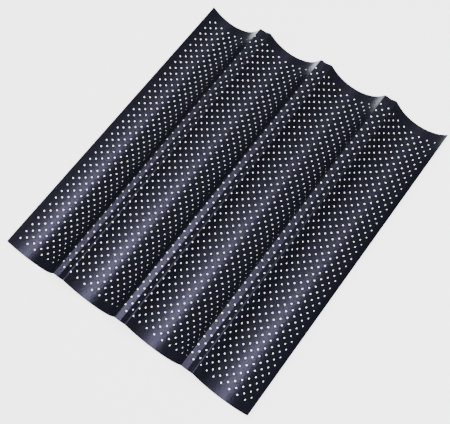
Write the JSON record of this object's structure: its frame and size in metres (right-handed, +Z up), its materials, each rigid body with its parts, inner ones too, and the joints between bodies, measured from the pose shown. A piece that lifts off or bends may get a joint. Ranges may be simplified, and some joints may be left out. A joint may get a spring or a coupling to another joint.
{
  "type": "baguette tray",
  "caption": "Perforated baguette tray pressed from one coated steel sheet, with parallel open-ended troughs between narrow grooved ridges.",
  "frame": {"origin": "centre of the tray's footprint, on the surface that it stands on", "axes": "+Y along the troughs, +X across them, towards the long edge that stands lower, +Z up, out of the open troughs"},
  "size_m": [0.3264, 0.38, 0.0272],
  "materials": {
    "coated_steel": "dark blue-black non-stick coating, satin"
  },
  "bodies": {
    "root": {"tray_sheet": "coated_steel"}
  },
  "joints": []
}
